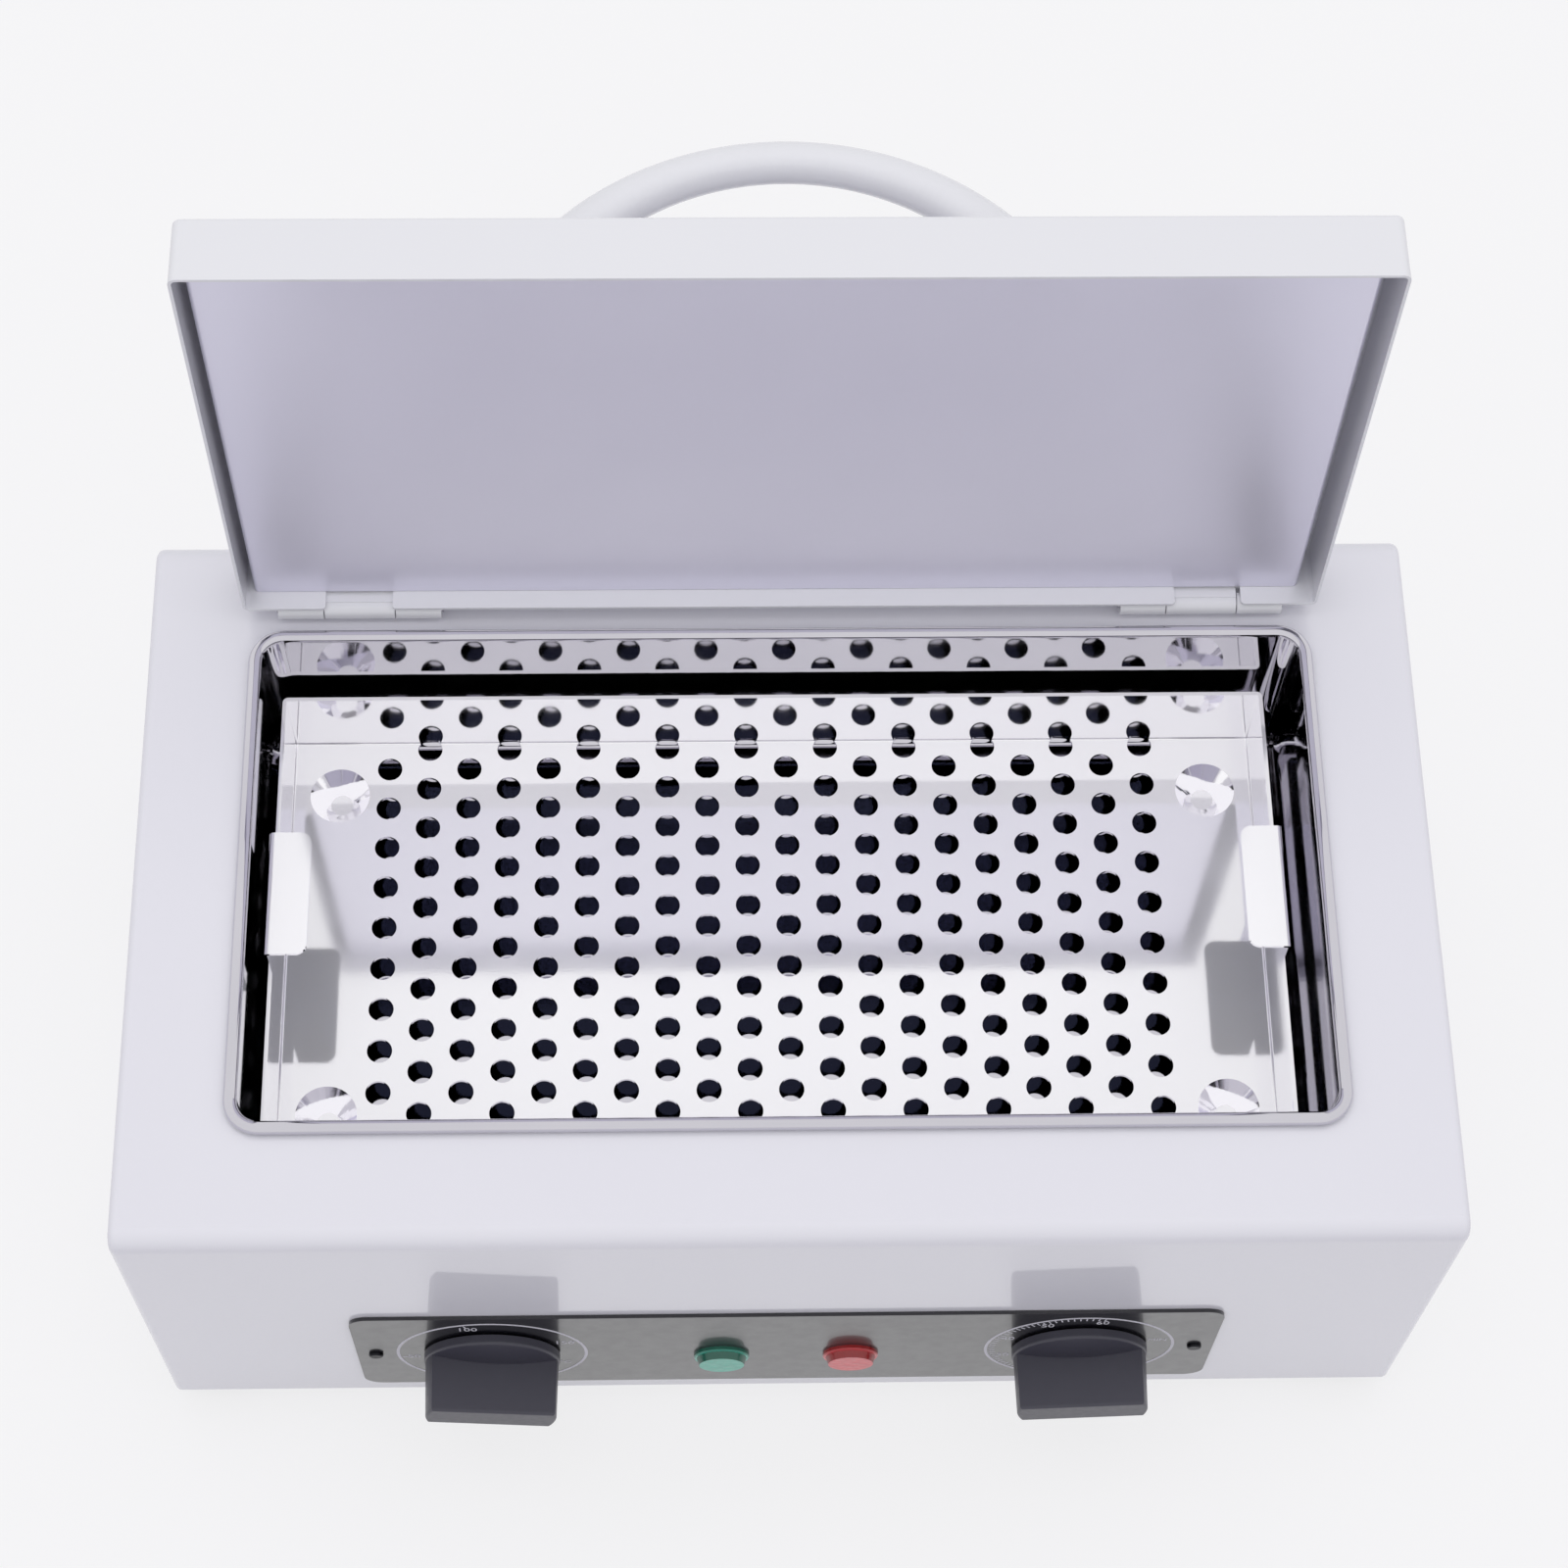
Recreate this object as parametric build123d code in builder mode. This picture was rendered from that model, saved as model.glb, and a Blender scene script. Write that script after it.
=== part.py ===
from build123d import *
import math
import os

os.makedirs("parts", exist_ok=True)

# Dry heat sterilizer, in millimetres.
# The origin is on the surface it stands on, under the middle of the case:
# X to the right seen from the front, Y to the back, Z up.

# Case
case_width = 330.0
case_depth = 195.0
case_height = 120.0
case_sheet = 1.0
case_bend = 5.0
case_end_edge = 2.0
case_flange = 20.0

# Feet and base plate
foot_diameter = 18.0
foot_height = 6.8
foot_inset = 11.0
foot_taper = 4.0
foot_recess_depth = 3.5
foot_screw_radius = 1.9
foot_screw_head_radius = 3.8
foot_screw_head_height = 2.2
foot_screw_head_round = 0.7
foot_screw_overhang = 3.0
base_sheet = 1.2
base_margin = 3.0
base_corner = 4.0
vent_length = 60.0
vent_width = 4.0
vent_pitch = 12.0
vent_count = 6
vent_groups_apart = 150.0

# Tank
tank_side_margin = 29.8
tank_end_margin = 31.3
tank_depth = 55.0
tank_sheet = 0.8
tank_corner = 5.6
tank_floor_bend = 3.0
bead_radius = 1.7
bead_seat = 0.1
tank_opening_gap = 0.5

# Instrument tray
tray_side_gap = 4.45
tray_end_gap = 3.4
tray_wall_height = 26.5
tray_sheet = 1.0
tray_bend = 1.5
tray_shift = -1.75
tray_foot_height = 6.0
tray_foot_top = 16.0
tray_foot_flat = 6.0
tray_foot_inset_x = 13.4
tray_foot_inset_y = 16.8
tray_lug_length = 34.0
tray_lug_rise = 12.5
tray_lug_flange = 11.0
tray_lug_corner = 3.0
tray_lug_shift = 0.2
hole_diameter = 6.6
hole_pitch_x = 10.76
hole_pitch_y = 11.73
hole_side_margin = 22.0
hole_end_margin = 3.5
hole_field_x = -1.9
hole_field_y = 1.1

# Heater and insulation
heater_side_margin = 30.2
heater_end_margin = 20.2
heater_thickness = 2.0
heater_corner = 5.6
pad_margin = 4.0
pad_thickness = 8.0
shield_sheet = 0.8
shield_margin = 2.0
wrap_thickness = 12.0
wrap_gap = 0.3
wrap_top_gap = 11.0
stud_radius = 2.0
stud_side_inset = 13.2
stud_end_inset = 9.2
stud_hole_gap = 0.2
stud_length = 15.0
stud_nut_flats = 7.0
stud_nut_height = 3.2
clip_width = 20.0
clip_leg = 9.0
clip_foot = 12.0
clip_sheet = 1.0
clip_spacing = 160.0
cutout_radius = 6.5
cutout_height = 7.0
cutout_round = 0.5
cutout_inset = 8.2
bulb_radius = 2.8
bulb_end_round = 1.4
bulb_length = 70.0
bulb_inset = 35.0
capillary_radius = 1.0
capillary_bend = 5.0
capillary_inset = 8.2
capillary_entry_height = 52.0

# Lid
lid_side_overhang = 4.8
lid_end_overhang = 5.6
lid_height = 17.5
lid_sheet = 0.8
lid_corner = 2.0
lid_edge = 1.2
lid_lip_gap = 0.8
lid_open_angle = 92.0
liner_recess = 5.2
liner_sheet = 0.8
liner_bend = 1.2
liner_channel_left = 2.0
liner_channel_right = 4.0
liner_fit = 0.15
liner_top_gap = 0.4
lid_insulation_gap = 0.5
lid_insulation_back_gap = 1.6
lid_insulation_corner = 1.2

# Lid hinges
pin_behind_tank = 9.4
pin_rise = 3.3
pin_radius = 1.3
pin_clearance = 0.05
pin_overhang = 0.6
skirt_to_pin = 3.1
knuckle_radius = 2.8
knuckle_gap = 0.3
hinge_width = 42.4
lid_knuckle_width = 18.2
hinge_inset = 30.0
hinge_leaf_sheet = 0.8
hinge_base_margin = 0.5
leaf_clearance = 0.5
leaf_top_margin = 1.3
notch_width = 17.4
notch_height = 6.6
notch_lip_round = 1.0
notch_right_shift = 1.5
rivet_radius = 1.5
rivet_head_radius = 2.8
rivet_head_height = 1.0
rivet_spacing = 28.0
rivet_fit = 0.03

# Bow handle
handle_inset = 34.7
handle_span = 125.6
handle_rise = 42.2
handle_trim = 4.0
handle_middle_diameter = 10.2
handle_end_diameter = 14.6
handle_end_depth = 13.0
handle_screw_spacing = 120.0
handle_screw_radius = 2.5
handle_screw_reach = 11.0
handle_screw_head_radius = 4.5
handle_screw_head_height = 3.0
handle_screw_head_round = 1.0
handle_screw_pocket_gap = 1.0
screw_fit = 0.03

# Control panel
panel_width = 225.0
panel_height = 55.0
panel_sheet = 1.0
panel_corner = 5.0
panel_centre_height = 43.7
panel_screw_spacing = 215.0
panel_screw_radius = 1.0
panel_screw_head_radius = 1.9
panel_screw_head_height = 0.9
panel_screw_head_round = 0.5
panel_screw_length = 5.0
control_height = 42.6
control_spacing = 154.2

# Lamps
lamp_height = 38.8
lamp_spacing = 34.0
lamp_radius = 7.3
lamp_rim = 1.1
lamp_rim_chamfer = 0.33
lamp_rim_step = 0.77
lamp_face_radius = 5.9
lamp_face_rise = 3.0
lamp_stem_radius = 4.6
lamp_stem_length = 6.0
lamp_hole_gap = 0.2
lamp_body_radius = 7.0
lamp_body_length = 20.0
lamp_body_wall = 2.0
lamp_tab_width = 4.8
lamp_tab_sheet = 0.8
lamp_tab_length = 8.0
lamp_tab_spacing = 7.0

# Knobs
knob_radius = 17.75
knob_panel_gap = 0.6
knob_rim_height = 2.4
knob_dome_height = 4.4
knob_rim_round = 0.7
knob_bar_width = 12.0
knob_bar_end_gap = 0.35
knob_bar_height = 17.2
knob_bar_draft = 1.5
knob_bar_round = 0.8
knob_recess_radius = 10.5
knob_recess_depth = 2.6
knob_bore_depth = 13.0
temperature_knob_turn = -10.0
timer_knob_turn = 6.0

# Thermostat and timer
shaft_radius = 3.0
shaft_clearance = 0.05
shaft_tail = 8.0
bush_radius = 5.0
bush_hole_gap = 0.2
bush_reach = 2.2
nut_flats = 14.0
nut_height = 2.0
thermostat_width = 34.0
thermostat_depth = 24.0
timer_width = 38.0
timer_body_height = 34.0
timer_depth = 28.0
switch_corner = 3.0

# Terminal block and cable gland
terminal_width = 34.0
terminal_depth = 14.0
terminal_height = 12.0
terminal_ways = 3
terminal_screw_radius = 2.0
terminal_screw_depth = 4.0
terminal_setback = 55.0
gland_inset = 45.0
gland_height = 32.0
gland_thread_radius = 6.0
gland_hole_gap = 0.2
gland_flats = 17.0
gland_hex_height = 4.0
gland_cap_radius = 7.5
gland_cap_height = 9.0
gland_bore_radius = 3.4
gland_thread_length = 8.0
gland_nut_height = 3.0

# Sizes that follow from the case and the tank
tank_width = case_width - 2 * tank_side_margin
tank_length = case_depth - 2 * tank_end_margin
tray_width = tank_width - 2 * tray_side_gap
tray_length = tank_length - 2 * tray_end_gap
hole_columns = 2 * math.floor((tray_width - 2 * hole_side_margin) / (2 * hole_pitch_x))
hole_rows = math.floor((tray_length - 2 * hole_end_margin) / hole_pitch_y)
heater_width = tank_width - 2 * heater_side_margin
heater_length = tank_length - 2 * heater_end_margin
stud_spacing_x = tank_width - 2 * stud_side_inset
stud_spacing_y = tank_length - 2 * stud_end_inset
cutout_place_y = tank_length / 2 - cutout_inset
capillary_hole_y = capillary_inset - tank_length / 2
lid_width = tank_width + 2 * lid_side_overhang
lid_length = tank_length + 2 * lid_end_overhang
pin_setback = tank_length / 2 + pin_behind_tank
bulb_place = bulb_inset - heater_width / 2
handle_offset = skirt_to_pin + lid_length - handle_inset
gland_offset = case_width / 2 - gland_inset
hinge_spacing = lid_width - 2 * hinge_inset
hinge_base_reach = case_depth / 2 - case_bend - hinge_base_margin - pin_setback

# Heights and places that follow
case_base = foot_height + base_sheet
top_plane = case_base + case_height
under_top = top_plane - case_sheet
bead_centre = top_plane + bead_seat + bead_radius
tank_floor = top_plane - tank_depth
tank_bottom = tank_floor - tank_sheet
heater_bottom = tank_bottom - heater_thickness
pad_bottom = heater_bottom - pad_thickness
shield_bottom = pad_bottom - shield_sheet
tray_bottom = tank_floor + tray_foot_height
tray_rim = tray_bottom + tray_wall_height

pin_height = top_plane + pin_rise
lid_back = pin_setback - skirt_to_pin
lid_middle = lid_back - lid_length / 2
lid_lip = top_plane + lid_lip_gap
lid_skin = lid_lip + lid_height
lid_under_skin = lid_skin - lid_sheet
liner_face = lid_lip + liner_recess
hinge_axis = Axis((0, pin_setback, pin_height), (1, 0, 0))
rivet_row = (pin_height + knuckle_radius + leaf_clearance + lid_skin - leaf_top_margin) / 2
base_rivet_row = pin_setback + knuckle_radius + leaf_clearance + (
    hinge_base_reach - knuckle_radius - leaf_clearance) / 2

front = Plane(origin=(0, -case_depth / 2, 0), x_dir=(1, 0, 0), z_dir=(0, -1, 0))
front_inside = front.offset(-case_sheet)
panel_face = front.offset(panel_sheet)
knob_back = panel_face.offset(knob_panel_gap)
rear = Plane(origin=(0, case_depth / 2, 0), x_dir=(-1, 0, 0), z_dir=(0, 1, 0))
rear_inside = rear.offset(-case_sheet)
lid_back_plane = Plane(origin=(0, lid_back, 0), x_dir=(1, 0, 0), z_dir=(0, -1, 0))

foot_grid = GridLocations(case_width - 2 * foot_inset, case_depth - 2 * foot_inset, 2, 2)
foot_screw_end = case_base + case_sheet + foot_screw_overhang


def turned_open(piece):
    """Turn a lid piece, drawn closed, about the hinge pins to the open lid."""
    piece.part = piece.part.rotate(hinge_axis, -lid_open_angle)


# Outer case: top, front and back folded from one sheet, end panels welded in
with BuildPart() as outer_case:
    with BuildSketch(Plane.YZ.offset(-case_width / 2)) as case_section:
        with Locations((0, case_base + case_height / 2)):
            Rectangle(case_depth, case_height)
        fillet(case_section.vertices().group_by(Axis.Y)[-1], case_bend)
    extrude(amount=case_width)
    end_faces = outer_case.faces().filter_by(Axis.X)
    end_edges = end_faces.edges().filter_by(lambda edge: edge.center().Z > case_base + case_end_edge)
    fillet(end_edges, case_end_edge)
    offset(amount=-case_sheet, openings=outer_case.faces().sort_by(Axis.Z)[0])
    with BuildSketch(Plane.XY.offset(case_base)):
        RectangleRounded(case_width, case_depth, case_end_edge)
        Rectangle(case_width - 2 * case_flange, case_depth - 2 * case_flange, mode=Mode.SUBTRACT)
        with foot_grid:
            Circle(foot_screw_radius + screw_fit, mode=Mode.SUBTRACT)
    extrude(amount=case_sheet)
    with BuildSketch(Plane.XY.offset(top_plane)):
        tank_hole_side = 2 * (tank_sheet + tank_opening_gap)
        RectangleRounded(tank_width + tank_hole_side, tank_length + tank_hole_side,
                         tank_corner + tank_hole_side / 2)
        with Locations((0, base_rivet_row)):
            with GridLocations(hinge_spacing, 0, 2, 1):
                with GridLocations(rivet_spacing, 0, 2, 1):
                    Circle(rivet_radius + rivet_fit)
    extrude(amount=-2 * case_sheet, mode=Mode.SUBTRACT)
    with BuildSketch(front):
        with Locations((0, control_height)):
            with GridLocations(control_spacing, 0, 2, 1):
                Circle(bush_radius + bush_hole_gap)
            with GridLocations(panel_screw_spacing, 0, 2, 1):
                Circle(panel_screw_radius + screw_fit)
        with Locations((0, lamp_height)):
            with GridLocations(lamp_spacing, 0, 2, 1):
                Circle(lamp_stem_radius + lamp_hole_gap)
    extrude(amount=-2 * case_sheet, mode=Mode.SUBTRACT)
    with BuildSketch(rear):
        with Locations((gland_offset, gland_height)):
            Circle(gland_thread_radius + gland_hole_gap)
    extrude(amount=-2 * case_sheet, mode=Mode.SUBTRACT)
outer_case.part.label = "outer_case"
export_step(outer_case.part, "parts/outer_case.step")

# Base plate with vent slots, held under the case flange by the foot screws
with BuildPart() as base_plate:
    with BuildSketch(Plane.XY.offset(foot_height)):
        RectangleRounded(case_width - 2 * base_margin, case_depth - 2 * base_margin, base_corner)
        with GridLocations(vent_groups_apart, vent_pitch, 2, vent_count):
            SlotOverall(vent_length, vent_width, mode=Mode.SUBTRACT)
        with foot_grid:
            Circle(foot_screw_radius + screw_fit, mode=Mode.SUBTRACT)
    extrude(amount=base_sheet)
base_plate.part.label = "base_plate"
export_step(base_plate.part, "parts/base_plate.step")

# Rubber feet, tapered, with a recess for the screw head
with BuildPart() as feet:
    with BuildSketch(Plane.XY.offset(foot_height)):
        with foot_grid:
            Circle(foot_diameter / 2)
    extrude(amount=-foot_height, taper=foot_taper)
    with BuildSketch():
        with foot_grid:
            Circle(foot_screw_head_radius + 2 * screw_fit)
    extrude(amount=foot_recess_depth, mode=Mode.SUBTRACT)
    with BuildSketch():
        with foot_grid:
            Circle(foot_screw_radius + screw_fit)
    extrude(amount=foot_height, mode=Mode.SUBTRACT)
feet.part.label = "feet"
export_step(feet.part, "parts/feet.step")

with BuildPart() as foot_screws:
    with BuildSketch(Plane.XY.offset(foot_recess_depth)):
        with foot_grid:
            Circle(foot_screw_head_radius)
    extrude(amount=-foot_screw_head_height)
    fillet(foot_screws.edges().group_by(Axis.Z)[0], foot_screw_head_round)
    with BuildSketch(Plane.XY.offset(foot_recess_depth)):
        with foot_grid:
            Circle(foot_screw_radius)
    extrude(amount=foot_screw_end - foot_recess_depth)
foot_screws.part.label = "foot_screws"
export_step(foot_screws.part, "parts/foot_screws.step")

# Tank: drawn and welded sheet, its rim rolled over into a full round bead
bead_side = 2 * bead_radius
with BuildSketch(Plane.XY.offset(bead_centre)) as bead_outline:
    RectangleRounded(tank_width + bead_side, tank_length + bead_side, tank_corner + bead_radius)
bead_path = bead_outline.sketch.face().outer_wire()

with BuildPart() as tank:
    with BuildSketch(Plane.XY.offset(tank_bottom)):
        RectangleRounded(tank_width + 2 * tank_sheet, tank_length + 2 * tank_sheet,
                         tank_corner + tank_sheet)
    extrude(amount=bead_centre - tank_bottom)
    fillet(tank.faces().sort_by(Axis.Z)[0].edges(), tank_floor_bend + tank_sheet)
    offset(amount=-tank_sheet, openings=tank.faces().sort_by(Axis.Z)[-1])
    with BuildSketch(Plane(origin=bead_path @ 0, z_dir=bead_path % 0)):
        Circle(bead_radius)
    sweep(path=bead_path)
    with BuildSketch(Plane.XY.offset(tank_bottom)):
        with GridLocations(stud_spacing_x, stud_spacing_y, 2, 2):
            Circle(stud_radius)
    extrude(amount=-stud_length)
tank.part.label = "tank"
export_step(tank.part, "parts/tank.step")

# Clips welded to the tank walls, hooked under the top of the case
with BuildPart() as tank_clips:
    for side in (-1, 1):
        wall = side * (tank_length / 2 + tank_sheet)
        with BuildSketch(Plane.YZ.offset(-clip_width / 2)) as clip_section:
            with BuildLine():
                Polyline(
                    (wall, under_top),
                    (wall + side * clip_foot, under_top),
                    (wall + side * clip_foot, under_top - clip_sheet),
                    (wall + side * clip_sheet, under_top - clip_sheet),
                    (wall + side * clip_sheet, under_top - clip_leg),
                    (wall, under_top - clip_leg),
                    close=True,
                )
            make_face()
        clip_profile = clip_section.sketch
        for place in (-clip_spacing / 2, clip_spacing / 2):
            extrude(clip_profile.moved(Location((place, 0, 0))), amount=clip_width)
tank_clips.part.label = "tank_clips"
export_step(tank_clips.part, "parts/tank_clips.step")

# Instrument tray: folded sheet, staggered holes, four pressed feet, two lifting lugs
tray_half_width = tray_width / 2
lug_top = tray_rim + tray_lug_rise
tray_base = Plane(origin=(tray_shift, 0, tray_bottom))
tray_feet = GridLocations(tray_width - 2 * tray_foot_inset_x, tray_length - 2 * tray_foot_inset_y, 2, 2)
tray_foot_draft = math.degrees(math.atan((tray_foot_top - tray_foot_flat) / 2 / tray_foot_height))

with BuildPart() as instrument_tray:
    with BuildSketch(tray_base):
        RectangleRounded(tray_width, tray_length, tray_bend)
    extrude(amount=tray_wall_height)
    fillet(instrument_tray.faces().sort_by(Axis.Z)[0].edges(), tray_bend)
    offset(amount=-tray_sheet, openings=instrument_tray.faces().sort_by(Axis.Z)[-1])
    for side in (-1, 1):
        lug_plane = Plane(
            origin=(tray_shift, tray_lug_shift + tray_lug_length / 2, 0), x_dir=(1, 0, 0), z_dir=(0, -1, 0)
        )
        with BuildSketch(lug_plane) as lug_section:
            with BuildLine():
                Polyline(
                    (side * tray_half_width, tray_rim - tray_sheet),
                    (side * tray_half_width, lug_top),
                    (side * (tray_half_width - tray_lug_flange), lug_top),
                    (side * (tray_half_width - tray_lug_flange), lug_top - tray_sheet),
                    (side * (tray_half_width - tray_sheet), lug_top - tray_sheet),
                    (side * (tray_half_width - tray_sheet), tray_rim - tray_sheet),
                    close=True,
                )
            make_face()
        extrude(amount=tray_lug_length)
    lug_bends = instrument_tray.edges().filter_by(Axis.Y).group_by(Axis.Z)[-1].sort_by(Axis.X)
    fillet([lug_bends[0], lug_bends[-1]], tray_bend)
    lug_tips = instrument_tray.edges().filter_by(Axis.Z).filter_by(
        lambda edge: edge.center().Z > lug_top - tray_sheet
    )
    fillet(lug_tips, tray_lug_corner)
    with BuildSketch(tray_base):
        with tray_feet:
            Circle(tray_foot_top / 2)
    extrude(amount=-tray_foot_height, taper=tray_foot_draft)
    with BuildSketch(tray_base.offset(tray_sheet)):
        with tray_feet:
            Circle(tray_foot_top / 2)
    extrude(amount=-tray_foot_height, taper=tray_foot_draft, mode=Mode.SUBTRACT)
    with BuildSketch(tray_base):
        for step, rows in ((-1, hole_rows), (1, hole_rows + 1)):
            with Locations((hole_field_x + step * hole_pitch_x / 2, hole_field_y)):
                with GridLocations(2 * hole_pitch_x, hole_pitch_y, hole_columns // 2, rows):
                    Circle(hole_diameter / 2)
    extrude(amount=tray_sheet + tray_bend, mode=Mode.SUBTRACT)
instrument_tray.part.label = "instrument_tray"
export_step(instrument_tray.part, "parts/instrument_tray.step")

# Flat heater under the tank floor, insulation pad under it
with BuildPart() as heater_plate:
    with BuildSketch(Plane.XY.offset(heater_bottom)):
        RectangleRounded(heater_width, heater_length, heater_corner)
    extrude(amount=heater_thickness)
heater_plate.part.label = "heater_plate"
export_step(heater_plate.part, "parts/heater_plate.step")

with BuildPart() as insulation_pad:
    with BuildSketch(Plane.XY.offset(pad_bottom)):
        RectangleRounded(heater_width + 2 * pad_margin, heater_length + 2 * pad_margin, heater_corner)
        with Locations((bulb_place, 0)):
            Rectangle(bulb_length + 2 * wrap_gap, 2 * (bulb_radius + wrap_gap), mode=Mode.SUBTRACT)
        with Locations((bulb_place, -(heater_length / 2 + pad_margin) / 2)):
            Rectangle(2 * (capillary_radius + wrap_gap), heater_length / 2 + pad_margin,
                      mode=Mode.SUBTRACT)
    extrude(amount=pad_thickness)
insulation_pad.part.label = "insulation_pad"
export_step(insulation_pad.part, "parts/insulation_pad.step")

# Heat shield hung on the weld studs of the tank by four nuts
shield_width = tank_width + 2 * (tank_sheet + wrap_gap + wrap_thickness + shield_margin)
shield_length = tank_length + 2 * (tank_sheet + wrap_gap + wrap_thickness + shield_margin)
with BuildPart() as heat_shield:
    with BuildSketch(Plane.XY.offset(shield_bottom)):
        RectangleRounded(shield_width, shield_length, heater_corner)
        with GridLocations(stud_spacing_x, stud_spacing_y, 2, 2):
            Circle(stud_radius + stud_hole_gap, mode=Mode.SUBTRACT)
        with Locations((bulb_place, capillary_hole_y)):
            Circle(capillary_radius + wrap_gap, mode=Mode.SUBTRACT)
    extrude(amount=shield_sheet)
heat_shield.part.label = "heat_shield"
export_step(heat_shield.part, "parts/heat_shield.step")

with BuildPart() as shield_nuts:
    with BuildSketch(Plane.XY.offset(shield_bottom)):
        with GridLocations(stud_spacing_x, stud_spacing_y, 2, 2):
            RegularPolygon(stud_nut_flats / 2, 6, major_radius=False)
            Circle(stud_radius + screw_fit, mode=Mode.SUBTRACT)
    extrude(amount=-stud_nut_height)
shield_nuts.part.label = "shield_nuts"
export_step(shield_nuts.part, "parts/shield_nuts.step")

with BuildPart() as insulation_wrap:
    with BuildSketch(Plane.XY.offset(pad_bottom)):
        inner_side = 2 * (tank_sheet + wrap_gap)
        outer_side = inner_side + 2 * wrap_thickness
        RectangleRounded(tank_width + outer_side, tank_length + outer_side, tank_corner + outer_side / 2)
        RectangleRounded(tank_width + inner_side, tank_length + inner_side, tank_corner + inner_side / 2,
                         mode=Mode.SUBTRACT)
    extrude(amount=under_top - wrap_top_gap - pad_bottom)
insulation_wrap.part.label = "insulation_wrap"
export_step(insulation_wrap.part, "parts/insulation_wrap.step")

# Over-temperature cut-out pressed to the tank floor beside the heater
with BuildPart() as thermal_cutout:
    with BuildSketch(Plane.XY.offset(tank_bottom)):
        with Locations((0, cutout_place_y)):
            Circle(cutout_radius)
    extrude(amount=-cutout_height)
    fillet(thermal_cutout.edges().group_by(Axis.Z)[0], cutout_round)
thermal_cutout.part.label = "thermal_cutout"
export_step(thermal_cutout.part, "parts/thermal_cutout.step")

# Sensor bulb of the thermostat in its slot of the pad, with the capillary down to the thermostat
bulb_centre = heater_bottom - bulb_radius
with BuildPart() as sensor_bulb:
    with BuildSketch(Plane(origin=(bulb_place - bulb_length / 2, 0, bulb_centre), z_dir=(1, 0, 0))):
        Circle(bulb_radius)
    extrude(amount=bulb_length)
    fillet(sensor_bulb.edges().filter_by(GeomType.CIRCLE), bulb_end_round)
    with BuildLine():
        capillary = FilletPolyline(
            (bulb_place, -bulb_radius / 2, bulb_centre),
            (bulb_place, capillary_hole_y, bulb_centre),
            (bulb_place, capillary_hole_y, capillary_entry_height),
            (bulb_place, thermostat_depth + case_sheet - case_depth / 2, capillary_entry_height),
            radius=capillary_bend,
        )
    with BuildSketch(Plane(origin=capillary @ 0, z_dir=capillary % 0)):
        Circle(capillary_radius)
    sweep(path=capillary)
sensor_bulb.part.label = "sensor_bulb"
export_step(sensor_bulb.part, "parts/sensor_bulb.step")

# Control panel and its two end screws
with BuildPart() as front_panel:
    with BuildSketch(front):
        with Locations((0, panel_centre_height)):
            RectangleRounded(panel_width, panel_height, panel_corner)
        with Locations((0, control_height)):
            with GridLocations(control_spacing, 0, 2, 1):
                Circle(bush_radius + bush_hole_gap, mode=Mode.SUBTRACT)
            with GridLocations(panel_screw_spacing, 0, 2, 1):
                Circle(panel_screw_radius + screw_fit, mode=Mode.SUBTRACT)
        with Locations((0, lamp_height)):
            with GridLocations(lamp_spacing, 0, 2, 1):
                Circle(lamp_stem_radius + lamp_hole_gap, mode=Mode.SUBTRACT)
    extrude(amount=panel_sheet)
front_panel.part.label = "front_panel"
export_step(front_panel.part, "parts/front_panel.step")

with BuildPart() as panel_screws:
    with BuildSketch(panel_face):
        with Locations((0, control_height)):
            with GridLocations(panel_screw_spacing, 0, 2, 1):
                Circle(panel_screw_head_radius)
    extrude(amount=panel_screw_head_height)
    fillet(panel_screws.edges().group_by(Axis.Y)[0], panel_screw_head_round)
    with BuildSketch(panel_face):
        with Locations((0, control_height)):
            with GridLocations(panel_screw_spacing, 0, 2, 1):
                Circle(panel_screw_radius)
    extrude(amount=-panel_screw_length)
panel_screws.part.label = "panel_screws"
export_step(panel_screws.part, "parts/panel_screws.step")

# Lamp lenses: a rim on the panel, a drafted body with a flat face, a stem into the lamp body
for colour, lamp_x in (("green", -lamp_spacing / 2), ("red", lamp_spacing / 2)):
    lens_plane = Plane(origin=(lamp_x, panel_face.origin.Y, lamp_height), x_dir=(1, 0, 0))
    with BuildPart() as lens:
        with BuildSketch(lens_plane):
            with BuildLine():
                Polyline(
                    (0, lamp_stem_length),
                    (lamp_stem_radius, lamp_stem_length),
                    (lamp_stem_radius, 0),
                    (lamp_radius, 0),
                    (lamp_radius, lamp_rim_chamfer - lamp_rim),
                    (lamp_radius - lamp_rim_chamfer, -lamp_rim),
                    (lamp_radius - lamp_rim_step, -lamp_rim),
                    (lamp_face_radius, -lamp_face_rise),
                    (0, -lamp_face_rise),
                    close=True,
                )
            make_face()
        revolve(axis=Axis(lens_plane.origin, (0, 1, 0)))
    lens.part.label = f"{colour}_lens"
    export_step(lens.part, f"parts/{colour}_lens.step")

# Lamp bodies behind the case wall, each with two tabs
with BuildPart() as lamp_bodies:
    with BuildSketch(front_inside):
        with Locations((0, lamp_height)):
            with GridLocations(lamp_spacing, 0, 2, 1):
                Circle(lamp_body_radius)
    extrude(amount=-lamp_body_length)
    with BuildSketch(front_inside):
        with Locations((0, lamp_height)):
            with GridLocations(lamp_spacing, 0, 2, 1):
                Circle(lamp_stem_radius + screw_fit)
    extrude(amount=-(lamp_body_length - lamp_body_wall), mode=Mode.SUBTRACT)
    with BuildSketch(front_inside.offset(-lamp_body_length)):
        with Locations((0, lamp_height)):
            with GridLocations(lamp_spacing, lamp_tab_spacing, 2, 2):
                Rectangle(lamp_tab_width, lamp_tab_sheet)
    extrude(amount=-lamp_tab_length)
lamp_bodies.part.label = "lamp_bodies"
export_step(lamp_bodies.part, "parts/lamp_bodies.step")

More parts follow.
